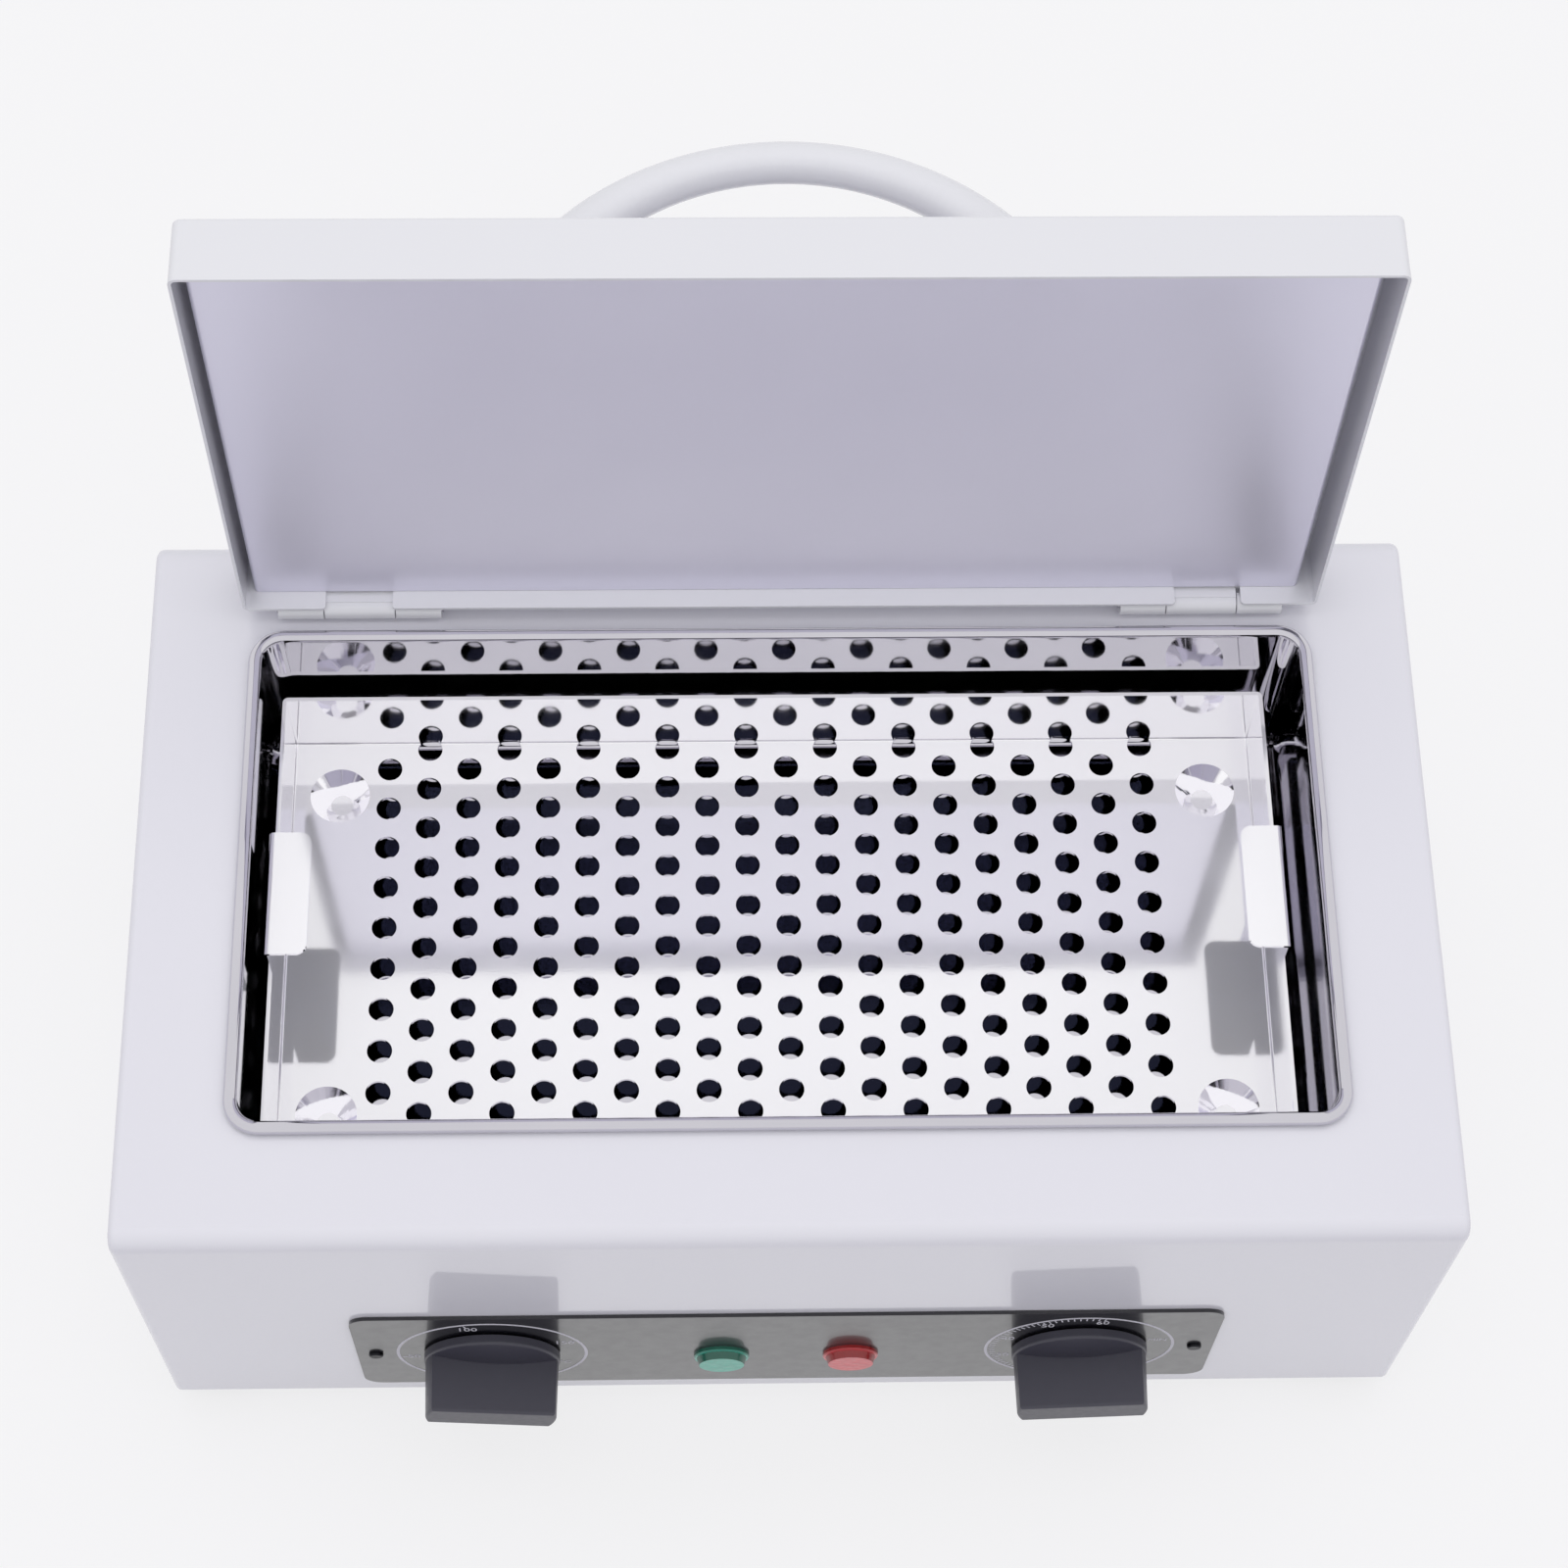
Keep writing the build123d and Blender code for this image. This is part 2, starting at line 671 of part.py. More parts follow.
# Thermostat and timer: body on the inside of the case, threaded bush through case and panel
for name, side, body_width, body_height, body_depth in (
    ("thermostat_body", -1, thermostat_width, thermostat_width, thermostat_depth),
    ("timer_body", 1, timer_width, timer_body_height, timer_depth),
):
    control_place = (side * control_spacing / 2, control_height)
    with BuildPart() as switch_body:
        with BuildSketch(front_inside):
            with Locations(control_place):
                RectangleRounded(body_width, body_height, switch_corner)
        extrude(amount=-body_depth)
        with BuildSketch(front_inside):
            with Locations(control_place):
                Circle(bush_radius)
        extrude(amount=case_sheet + panel_sheet + bush_reach)
        with BuildSketch(panel_face.offset(bush_reach)):
            with Locations(control_place):
                Circle(shaft_radius + shaft_clearance)
        extrude(amount=-(bush_reach + panel_sheet + case_sheet + shaft_tail + knob_panel_gap),
                mode=Mode.SUBTRACT)
    switch_body.part.label = name
    export_step(switch_body.part, f"parts/{name}.step")

for name, side in (("thermostat_nut", -1), ("timer_nut", 1)):
    with BuildPart() as bush_nut:
        with BuildSketch(panel_face):
            with Locations((side * control_spacing / 2, control_height)):
                RegularPolygon(nut_flats / 2, 6, major_radius=False)
                Circle(bush_radius + screw_fit, mode=Mode.SUBTRACT)
        extrude(amount=nut_height)
    bush_nut.part.label = name
    export_step(bush_nut.part, f"parts/{name}.step")

for name, side in (("temperature_shaft", -1), ("timer_shaft", 1)):
    with BuildPart() as shaft:
        with BuildSketch(front_inside.offset(-shaft_tail)):
            with Locations((side * control_spacing / 2, control_height)):
                Circle(shaft_radius)
        extrude(amount=shaft_tail + case_sheet + panel_sheet + knob_panel_gap + knob_bore_depth)
    shaft.part.label = name
    export_step(shaft.part, f"parts/{name}.step")

# Knobs: a domed disc, hollow behind over the bush nut, with a drafted grip bar across it
for name, side, turn in (
    ("temperature_knob", -1, temperature_knob_turn),
    ("timer_knob", 1, timer_knob_turn),
):
    knob_x = side * control_spacing / 2
    disc_plane = Plane(origin=(knob_x, knob_back.origin.Y, control_height), x_dir=(1, 0, 0))
    along_bar = (math.cos(math.radians(turn)), 0, math.sin(math.radians(turn)))
    bar_plane = Plane(origin=disc_plane.origin, x_dir=along_bar, z_dir=(0, -1, 0))
    with BuildPart() as knob:
        with BuildSketch(disc_plane) as disc_section:
            with BuildLine():
                Polyline((0, -knob_dome_height), (0, 0), (knob_radius, 0), (knob_radius, -knob_rim_height))
                TangentArc((0, -knob_dome_height), (knob_radius, -knob_rim_height), tangent=(1, 0))
            make_face()
            rim_corner = disc_section.vertices().group_by(Axis.X)[-1].sort_by(Axis.Y)[0]
            fillet(rim_corner, knob_rim_round)
        revolve(axis=Axis(disc_plane.origin, (0, 1, 0)))
        with BuildSketch(bar_plane.offset(knob_rim_height)):
            Circle(knob_radius - knob_bar_end_gap)
            Rectangle(2 * knob_radius, knob_bar_width, mode=Mode.INTERSECT)
        extrude(amount=knob_bar_height - knob_rim_height, taper=knob_bar_draft)
        fillet(knob.faces().sort_by(Axis.Y)[0].edges(), knob_bar_round)
        with BuildSketch(bar_plane):
            Circle(knob_recess_radius)
        extrude(amount=knob_recess_depth, mode=Mode.SUBTRACT)
        with BuildSketch(bar_plane):
            Circle(shaft_radius)
        extrude(amount=knob_bore_depth, mode=Mode.SUBTRACT)
    knob.part.label = name
    export_step(knob.part, f"parts/{name}.step")

# Terminal block on the base plate
with BuildPart() as terminal_block:
    block_plane = Plane(origin=(-gland_offset, terminal_setback, case_base))
    with BuildSketch(block_plane):
        RectangleRounded(terminal_width, terminal_depth, base_sheet)
    extrude(amount=terminal_height)
    with BuildSketch(block_plane.offset(terminal_height)):
        with GridLocations(terminal_width / terminal_ways, terminal_depth / 2, terminal_ways, 2):
            Circle(terminal_screw_radius)
    extrude(amount=-terminal_screw_depth, mode=Mode.SUBTRACT)
terminal_block.part.label = "terminal_block"
export_step(terminal_block.part, "parts/terminal_block.step")

# Cable gland in the rear wall: hexagon, domed cap, through bore and inside nut
with BuildPart() as cable_gland:
    gland_place = Locations((gland_offset, gland_height))
    with BuildSketch(rear):
        with gland_place:
            RegularPolygon(gland_flats / 2, 6, major_radius=False)
    extrude(amount=gland_hex_height)
    with BuildSketch(rear.offset(gland_hex_height)):
        with gland_place:
            Circle(gland_cap_radius)
    extrude(amount=gland_cap_height)
    fillet(cable_gland.edges().group_by(Axis.Y)[-1], (gland_cap_radius - gland_bore_radius) / 2)
    with BuildSketch(rear):
        with gland_place:
            Circle(gland_thread_radius)
    extrude(amount=-gland_thread_length)
    with BuildSketch(rear.offset(gland_hex_height + gland_cap_height)):
        with gland_place:
            Circle(gland_bore_radius)
    extrude(amount=-(gland_hex_height + gland_cap_height + gland_thread_length), mode=Mode.SUBTRACT)
cable_gland.part.label = "cable_gland"
export_step(cable_gland.part, "parts/cable_gland.step")

with BuildPart() as gland_nut:
    with BuildSketch(rear_inside):
        with gland_place:
            RegularPolygon(gland_flats / 2, 6, major_radius=False)
            Circle(gland_thread_radius + screw_fit, mode=Mode.SUBTRACT)
    extrude(amount=-gland_nut_height)
gland_nut.part.label = "gland_nut"
export_step(gland_nut.part, "parts/gland_nut.step")

# Lid hinges: outer knuckles and a leaf on the case, middle knuckle and a leaf on the lid skirt
outer_knuckle = (hinge_width - lid_knuckle_width) / 2 - knuckle_gap
for hinge_side, hinge_x in (("left", -hinge_spacing / 2), ("right", hinge_spacing / 2)):
    hinge_end = Plane(origin=(hinge_x - hinge_width / 2, 0, 0), x_dir=(0, 1, 0), z_dir=(1, 0, 0))
    knuckle_offsets = (0, hinge_width - outer_knuckle)
    with BuildPart() as hinge_base:
        for offset_x in knuckle_offsets:
            with BuildSketch(hinge_end.offset(offset_x)):
                with Locations((pin_setback, pin_height)):
                    Circle(knuckle_radius)
                with Locations((pin_setback, top_plane)):
                    Rectangle(hinge_base_reach, hinge_leaf_sheet, align=(Align.MIN, Align.MIN))
            extrude(amount=outer_knuckle)
        with BuildSketch(Plane.XY.offset(top_plane)):
            with Locations((hinge_x, pin_setback + knuckle_radius + leaf_clearance)):
                Rectangle(hinge_width, hinge_base_reach - knuckle_radius - leaf_clearance,
                          align=(Align.CENTER, Align.MIN))
        extrude(amount=hinge_leaf_sheet)
        with BuildSketch(hinge_end):
            with Locations((pin_setback, pin_height)):
                Circle(pin_radius + rivet_fit)
        extrude(amount=hinge_width, mode=Mode.SUBTRACT)
        with BuildSketch(Plane.XY.offset(top_plane)):
            with Locations((hinge_x, base_rivet_row)):
                with GridLocations(rivet_spacing, 0, 2, 1):
                    Circle(rivet_radius + rivet_fit)
        extrude(amount=hinge_leaf_sheet, mode=Mode.SUBTRACT)
    hinge_base.part.label = f"hinge_base_{hinge_side}"
    export_step(hinge_base.part, f"parts/hinge_base_{hinge_side}.step")

    leaf_foot = pin_height + knuckle_radius + leaf_clearance
    leaf_top = lid_skin - leaf_top_margin
    with BuildPart() as hinge_leaf:
        with BuildSketch(hinge_end.offset((hinge_width - lid_knuckle_width) / 2)):
            with Locations((pin_setback, pin_height)):
                Circle(knuckle_radius)
            with Locations((lid_back, pin_height)):
                Rectangle(hinge_leaf_sheet, leaf_top - pin_height, align=(Align.MIN, Align.MIN))
        extrude(amount=lid_knuckle_width)
        with BuildSketch(lid_back_plane):
            with Locations((hinge_x, leaf_foot)):
                Rectangle(hinge_width, leaf_top - leaf_foot, align=(Align.CENTER, Align.MIN))
        extrude(amount=-hinge_leaf_sheet)
        with BuildSketch(hinge_end):
            with Locations((pin_setback, pin_height)):
                Circle(pin_radius + pin_clearance)
        extrude(amount=hinge_width, mode=Mode.SUBTRACT)
        with BuildSketch(lid_back_plane):
            with Locations((hinge_x, rivet_row)):
                with GridLocations(rivet_spacing, 0, 2, 1):
                    Circle(rivet_radius + rivet_fit)
        extrude(amount=-hinge_leaf_sheet, mode=Mode.SUBTRACT)
    turned_open(hinge_leaf)
    hinge_leaf.part.label = f"hinge_leaf_{hinge_side}"
    export_step(hinge_leaf.part, f"parts/hinge_leaf_{hinge_side}.step")

    with BuildPart() as hinge_pin:
        with BuildSketch(hinge_end.offset(-pin_overhang)):
            with Locations((pin_setback, pin_height)):
                Circle(pin_radius)
        extrude(amount=hinge_width + 2 * pin_overhang)
        fillet(hinge_pin.edges().filter_by(GeomType.CIRCLE), pin_overhang / 2)
    hinge_pin.part.label = f"hinge_pin_{hinge_side}"
    export_step(hinge_pin.part, f"parts/hinge_pin_{hinge_side}.step")

# Rivets of the leaves on the case, from above the leaf to under the sheet
with BuildPart() as base_rivets:
    grip = hinge_leaf_sheet + case_sheet
    for level, direction in ((top_plane + hinge_leaf_sheet, 1), (under_top, -1)):
        with BuildSketch(Plane.XY.offset(level)):
            with Locations((0, base_rivet_row)):
                with GridLocations(hinge_spacing, 0, 2, 1):
                    with GridLocations(rivet_spacing, 0, 2, 1):
                        Circle(rivet_head_radius)
        extrude(amount=direction * rivet_head_height)
    with BuildSketch(Plane.XY.offset(under_top)):
        with Locations((0, base_rivet_row)):
            with GridLocations(hinge_spacing, 0, 2, 1):
                with GridLocations(rivet_spacing, 0, 2, 1):
                    Circle(rivet_radius)
    extrude(amount=grip)
    fillet(base_rivets.edges().group_by(Axis.Z)[-1], rivet_head_height / 2)
base_rivets.part.label = "base_rivets"
export_step(base_rivets.part, "parts/base_rivets.step")

# Rivets of the leaves on the lid, from outside the leaf to inside the skirt
with BuildPart() as leaf_rivets:
    for level, direction in ((-hinge_leaf_sheet, -1), (lid_sheet, 1)):
        with BuildSketch(lid_back_plane.offset(level)):
            with Locations((0, rivet_row)):
                with GridLocations(hinge_spacing, 0, 2, 1):
                    with GridLocations(rivet_spacing, 0, 2, 1):
                        Circle(rivet_head_radius)
        extrude(amount=direction * rivet_head_height)
    with BuildSketch(lid_back_plane.offset(-hinge_leaf_sheet)):
        with Locations((0, rivet_row)):
            with GridLocations(hinge_spacing, 0, 2, 1):
                with GridLocations(rivet_spacing, 0, 2, 1):
                    Circle(rivet_radius)
    extrude(amount=hinge_leaf_sheet + lid_sheet)
    fillet(leaf_rivets.edges().group_by(Axis.Y)[-1], rivet_head_height / 2)
turned_open(leaf_rivets)
leaf_rivets.part.label = "leaf_rivets"
export_step(leaf_rivets.part, "parts/leaf_rivets.step")

# Lid shell: a shallow folded pan with notches in the rear skirt at the hinge knuckles
with BuildPart() as lid_shell:
    with BuildSketch(Plane.XY.offset(lid_lip)):
        with Locations((0, lid_middle)):
            RectangleRounded(lid_width, lid_length, lid_corner)
    extrude(amount=lid_height)
    fillet(lid_shell.faces().sort_by(Axis.Z)[-1].edges(), lid_edge)
    offset(amount=-lid_sheet, openings=lid_shell.faces().sort_by(Axis.Z)[0])
    with BuildSketch(lid_back_plane):
        for notch_x in (-hinge_spacing / 2, hinge_spacing / 2 + notch_right_shift):
            with Locations((notch_x, lid_lip)):
                Rectangle(notch_width, notch_height, align=(Align.CENTER, Align.MIN))
    extrude(amount=lid_sheet, mode=Mode.SUBTRACT)
    notch_corners = lid_shell.edges().filter_by(Axis.Y).filter_by(
        lambda edge: edge.length < 2 * lid_sheet and edge.center().Z < lid_lip + lid_sheet
    )
    fillet(notch_corners, notch_lip_round)
    with BuildSketch(lid_back_plane):
        with Locations((0, rivet_row)):
            with GridLocations(hinge_spacing, 0, 2, 1):
                with GridLocations(rivet_spacing, 0, 2, 1):
                    Circle(rivet_radius + rivet_fit)
    extrude(amount=lid_sheet, mode=Mode.SUBTRACT)
    with BuildSketch(Plane.XY.offset(lid_skin)):
        with Locations((0, pin_setback - handle_offset)):
            with GridLocations(handle_screw_spacing, 0, 2, 1):
                Circle(handle_screw_radius + screw_fit)
    extrude(amount=-lid_sheet, mode=Mode.SUBTRACT)
turned_open(lid_shell)
lid_shell.part.label = "lid_shell"
export_step(lid_shell.part, "parts/lid_shell.step")

# Lid liner: a flat panel with side flanges up to the skin, leaving an open channel at each side
liner_left = -lid_width / 2 + lid_sheet + liner_channel_left
liner_right = lid_width / 2 - lid_sheet - liner_channel_right
liner_length = lid_length - 2 * (lid_sheet + liner_fit)
liner_top = lid_under_skin - liner_top_gap
with BuildPart() as lid_liner:
    with BuildSketch(lid_back_plane.offset(lid_sheet + liner_fit)) as liner_section:
        with BuildLine():
            FilletPolyline(
                (liner_left, liner_top),
                (liner_left, liner_face),
                (liner_right, liner_face),
                (liner_right, liner_top),
                radius=liner_bend,
            )
            offset(amount=liner_sheet, side=Side.LEFT)
        make_face()
    extrude(amount=liner_length)
turned_open(lid_liner)
lid_liner.part.label = "lid_liner"
export_step(lid_liner.part, "parts/lid_liner.step")

# Insulation in the lid, with pockets over the handle screw heads
insulation_left = liner_left + liner_sheet + lid_insulation_gap
insulation_right = liner_right - liner_sheet - lid_insulation_gap
insulation_front = lid_back - lid_length + lid_sheet + lid_insulation_gap
insulation_back = lid_back - lid_sheet - lid_insulation_back_gap
with BuildPart() as lid_insulation:
    with BuildSketch(Plane.XY.offset(liner_face + liner_sheet)):
        with Locations(((insulation_left + insulation_right) / 2, (insulation_front + insulation_back) / 2)):
            Rectangle(insulation_right - insulation_left, insulation_back - insulation_front)
    extrude(amount=lid_under_skin - liner_face - liner_sheet)
    fillet(lid_insulation.edges().filter_by(Axis.Z), lid_insulation_corner)
    with BuildSketch(Plane.XY.offset(lid_under_skin)):
        with Locations((0, pin_setback - handle_offset)):
            with GridLocations(handle_screw_spacing, 0, 2, 1):
                Circle(handle_screw_head_radius + handle_screw_pocket_gap)
    extrude(amount=-(handle_screw_head_height + handle_screw_pocket_gap), mode=Mode.SUBTRACT)
turned_open(lid_insulation)
lid_insulation.part.label = "lid_insulation"
export_step(lid_insulation.part, "parts/lid_insulation.step")

# Bow handle: a round bar swept along an arc, thicker towards its two feet on the skin
handle_plane = Plane(origin=(0, pin_setback - handle_offset, lid_skin), x_dir=(1, 0, 0), z_dir=(0, -1, 0))
bow_radius = (handle_rise**2 + (handle_span / 2) ** 2) / (2 * handle_rise)
bow_end = math.sqrt(bow_radius**2 - (bow_radius - handle_rise - handle_trim) ** 2)
with BuildPart() as handle:
    with BuildLine(handle_plane) as bow:
        ThreePointArc((-bow_end, -handle_trim), (0, handle_rise), (bow_end, -handle_trim))
    bow_path = bow.wires()[0]
    for place, along, across in (
        (0.0, handle_end_diameter, handle_end_depth),
        (0.5, handle_middle_diameter, handle_middle_diameter),
        (1.0, handle_end_diameter, handle_end_depth),
    ):
        with BuildSketch(Plane(origin=bow_path @ place, x_dir=(0, 1, 0), z_dir=bow_path % place)):
            Ellipse(across / 2, along / 2)
    sweep(path=bow_path, multisection=True)
    split(bisect_by=Plane.XY.offset(lid_skin), keep=Keep.TOP)
    with BuildSketch(Plane.XY.offset(lid_skin)):
        with Locations((0, pin_setback - handle_offset)):
            with GridLocations(handle_screw_spacing, 0, 2, 1):
                Circle(handle_screw_radius + screw_fit)
    extrude(amount=handle_screw_reach, mode=Mode.SUBTRACT)
turned_open(handle)
handle.part.label = "handle"
export_step(handle.part, "parts/handle.step")

with BuildPart() as handle_screws:
    with BuildSketch(Plane.XY.offset(lid_under_skin)):
        with Locations((0, pin_setback - handle_offset)):
            with GridLocations(handle_screw_spacing, 0, 2, 1):
                Circle(handle_screw_head_radius)
    extrude(amount=-handle_screw_head_height)
    fillet(handle_screws.edges().group_by(Axis.Z)[0], handle_screw_head_round)
    with BuildSketch(Plane.XY.offset(lid_under_skin)):
        with Locations((0, pin_setback - handle_offset)):
            with GridLocations(handle_screw_spacing, 0, 2, 1):
                Circle(handle_screw_radius)
    extrude(amount=lid_sheet + handle_screw_reach - screw_fit)
turned_open(handle_screws)
handle_screws.part.label = "handle_screws"
export_step(handle_screws.part, "parts/handle_screws.step")
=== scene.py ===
import math

import bmesh
import bpy
from mathutils import Matrix, Vector


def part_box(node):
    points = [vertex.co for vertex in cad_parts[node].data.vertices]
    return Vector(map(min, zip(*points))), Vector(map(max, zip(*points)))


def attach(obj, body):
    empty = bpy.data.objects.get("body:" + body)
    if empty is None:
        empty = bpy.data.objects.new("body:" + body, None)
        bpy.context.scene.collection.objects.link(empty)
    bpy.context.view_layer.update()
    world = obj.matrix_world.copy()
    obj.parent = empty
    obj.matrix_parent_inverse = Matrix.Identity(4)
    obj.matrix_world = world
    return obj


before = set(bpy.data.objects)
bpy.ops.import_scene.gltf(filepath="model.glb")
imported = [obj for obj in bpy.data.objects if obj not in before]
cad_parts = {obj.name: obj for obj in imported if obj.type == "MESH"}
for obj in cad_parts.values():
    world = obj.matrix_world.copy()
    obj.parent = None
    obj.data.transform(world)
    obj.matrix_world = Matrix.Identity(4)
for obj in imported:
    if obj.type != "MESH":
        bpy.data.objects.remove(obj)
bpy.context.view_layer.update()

# Places taken from the frame, in metres
panel_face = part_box("front_panel")[0][1]
control_height = (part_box("temperature_knob")[0][2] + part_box("temperature_knob")[1][2]) / 2
temperature_x = (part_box("temperature_knob")[0][0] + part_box("temperature_knob")[1][0]) / 2
timer_x = (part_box("timer_knob")[0][0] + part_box("timer_knob")[1][0]) / 2

# Camera of the photograph: place in metres, turn in degrees, lens and sensor in millimetres
camera_place = (-0.02011, -0.36645, 0.92784)
camera_turn = (26.102, -0.987, -0.916)
camera_lens = 79.74
camera_sensor = 36

# Brightness of the surroundings by the height of the direction, from the horizon to overhead
sky_bands = [(0.0, (0.26, 0.26, 0.27)), (0.25, (0.34, 0.34, 0.35)), (0.6, (0.68, 0.68, 0.69)),
             (1.0, (0.88, 0.88, 0.89))]

# How much stronger the surroundings are on the front's side, and weaker on the rear's
sky_front = 1.45
sky_rear = 0.86

# Floor: the share that glows white where it is seen, its size and the tone of the rest
floor_glow = 0.75
floor_size = 12.0
floor_tone = (0.72, 0.71, 0.76)

# Soft light overhead: metres and watts
overhead_place = (0, 0.4, 2.4)
overhead_target = (0, 0, 0.1)
overhead_size = (2.2, 1.6)
overhead_power = 11

# Finishes: the part of a noise pattern's range that counts, and depths of relief in metres
noise_reach = (0.3, 0.7)
coat_wave_depth = 0.00002
coat_grain_depth = 0.000006
polish_depth = 0.0000015
sheet_wave_depth = 0.00006
panel_grain_depth = 0.000002
lens_facet_depth = 0.0001
turned_depth = 0.000006
fibre_depth = 0.0006

# How dark a tone gets where its pattern is darkest, as a share of the tone
coat_dark = 0.985
plastic_dark = 0.9
metal_dark = 0.85
fibre_dark = 0.75
lens_dark = 0.8

# Tray floor: how metallic it is left by cleaning; lens: how many facets a metre
tray_floor_metallic = 0.55
lens_facet_scale = 520

# How far a surface faces up or front where its finish starts and stops to change; the tray's underside
# range sets its painted shade, the lens's front range its painted light
floor_facing = (0.80, 0.98)
shaded_underside_facing = (-0.6, -0.9)
lens_painted_front_facing = (-0.60, -0.95)

# Places of the colour sockets on Blender's mix node
MIX_A, MIX_B, MIX_RESULT = 6, 7, 2

# Dial print: lengths in metres, turns in degrees clockwise from the top, times in minutes
ring_radius = 0.0246
ring_line = 0.0008
ring_steps = 96
print_height = 0.00005
digit_size = 0.0036
unit_scale = 0.8
digit_radius = 0.0208
letter_steps = 3
tick_length = 0.0015
tick_line = 0.00035
temperatures = (50, 100, 150, 200)
lowest_turn = -97
temperature_step_turn = 82
celsius_turn = 115
timer_minutes = 60
timer_number_step = 10
timer_zero_turn = 132
minute_turn = 4
minutes_turn = 75


def colour(r, g, b):
    """A colour given as it shows on a screen, from 0 to 255, turned to Blender's linear values."""
    return tuple(((v / 255 + 0.055) / 1.055) ** 2.4 if v > 10 else v / 255 / 12.92 for v in (r, g, b))


def darker(tone, share):
    return tuple(v * share for v in tone)


def new_object(name, data):
    made = bpy.data.objects.new(name, data)
    bpy.context.scene.collection.objects.link(made)
    return made


class Finish:
    """A material under construction: its shader and a few node shorthands."""

    def __init__(self, name):
        self.material = bpy.data.materials.new(name)
        self.material.use_nodes = True
        self.tree = self.material.node_tree
        self.shader = self.tree.nodes["Principled BSDF"]
        self.place = self.node("ShaderNodeTexCoord").outputs["Object"]

    def node(self, kind):
        return self.tree.nodes.new(kind)

    def link(self, source, target):
        self.tree.links.new(source, target)

    def set(self, **values):
        for key, value in values.items():
            self.shader.inputs[key.replace("_", " ")].default_value = value

    def noise(self, scale, detail, stretch=(1, 1, 1)):
        """A cloudy pattern from 0 to 1, fixed to the piece."""
        mapping = self.node("ShaderNodeMapping")
        mapping.inputs["Scale"].default_value = stretch
        self.link(self.place, mapping.inputs["Vector"])
        texture = self.node("ShaderNodeTexNoise")
        texture.inputs["Scale"].default_value = scale
        texture.inputs["Detail"].default_value = detail
        self.link(mapping.outputs["Vector"], texture.inputs["Vector"])
        return texture.outputs["Fac"]

    def spread(self, source, start, end, low=0.0, high=1.0):
        """Turn a value that runs from start to end into one that runs from low to high."""
        ranged = self.node("ShaderNodeMapRange")
        ranged.inputs["From Min"].default_value = start
        ranged.inputs["From Max"].default_value = end
        ranged.inputs["To Min"].default_value = low
        ranged.inputs["To Max"].default_value = high
        self.link(source, ranged.inputs["Value"])
        return ranged.outputs["Result"]

    def blend(self, source, low, high):
        """Base colour from low to high by a value; each is a tone or a socket with a colour."""
        mix = self.node("ShaderNodeMix")
        mix.data_type = "RGBA"
        for socket, tone in ((mix.inputs[MIX_A], low), (mix.inputs[MIX_B], high)):
            if isinstance(tone, tuple):
                socket.default_value = (*tone, 1)
            else:
                self.link(tone, socket)
        self.link(source, mix.inputs["Factor"])
        self.link(mix.outputs[MIX_RESULT], self.shader.inputs["Base Color"])
        return mix.outputs[MIX_RESULT]

    def facing(self, axis):
        """How far the surface faces along an axis, from -1 to 1."""
        parts = self.node("ShaderNodeSeparateXYZ")
        self.link(self.node("ShaderNodeNewGeometry").outputs["Normal"], parts.inputs["Vector"])
        return parts.outputs[axis]

    def rough(self, source, low, high):
        """Roughness that follows a pattern."""
        self.link(self.spread(source, *noise_reach, low, high), self.shader.inputs["Roughness"])

    def bump(self, source, depth, normal=None):
        """Raise the surface with a pattern, by depth in metres."""
        made = self.node("ShaderNodeBump")
        made.inputs["Strength"].default_value = 1.0
        made.inputs["Distance"].default_value = depth
        self.link(source, made.inputs["Height"])
        if normal:
            self.link(normal, made.inputs["Normal"])
        self.link(made.outputs["Normal"], self.shader.inputs["Normal"])
        return made.outputs["Normal"]


def powder_coat(name, tone):
    """Pale baked powder coat: fine orange peel under a soft gloss."""
    coat = Finish(name)
    coat.blend(coat.noise(scale=18, detail=3), darker(tone, coat_dark), tone)
    coat.rough(coat.noise(scale=900, detail=2), low=0.30, high=0.40)
    wave = coat.bump(coat.noise(scale=140, detail=1), coat_wave_depth)
    coat.bump(coat.noise(scale=1800, detail=2), coat_grain_depth, wave)
    coat.set(Coat_Weight=0.8, Coat_Roughness=0.04, Coat_IOR=1.5)
    return coat.material


def mirror_steel(name, tones, roughness=(0.025, 0.06), wave_depth=0.00016):
    """Mirror polished stainless sheet, slightly wavy, with a faint polishing haze."""
    steel = Finish(name)
    steel.set(Metallic=1.0)
    steel.tones = steel.blend(steel.noise(scale=30, detail=2), *tones)
    steel.rough(steel.noise(scale=60, detail=3), *roughness)
    wave = steel.bump(steel.noise(scale=14, detail=1), wave_depth)
    steel.bump(steel.noise(scale=2200, detail=1, stretch=(0.1, 1, 1)), polish_depth, wave)
    return steel


def tray_mirror(name):
    """The tray's steel: its floor milky from cleaning, its undersides painted dark as painted shade, so
    that the mirror below them shows dark.
    """
    tones = (colour(247, 246, 250), colour(251, 250, 253))
    steel = mirror_steel(name, tones, roughness=(0.05, 0.08), wave_depth=0.00006)
    upward = steel.facing("Z")
    milky = steel.spread(upward, *floor_facing, 1.0, tray_floor_metallic)
    steel.link(milky, steel.shader.inputs["Metallic"])
    # Painted shade: faces turned down are painted dark, so that the mirror floor below and the holes show
    # them dark
    steel.blend(steel.spread(upward, *shaded_underside_facing), steel.tones, colour(52, 56, 72))
    return steel.material


def satin_sheet(name):
    """Pale satin sheet of the lid liner, soft blurred reflections."""
    sheet = Finish(name)
    sheet.set(Metallic=0.75)
    sheet.blend(sheet.noise(scale=12, detail=2), colour(229, 227, 241), colour(233, 231, 244))
    sheet.rough(sheet.noise(scale=40, detail=2), low=0.36, high=0.40)
    sheet.bump(sheet.noise(scale=9, detail=1), sheet_wave_depth)
    return sheet.material


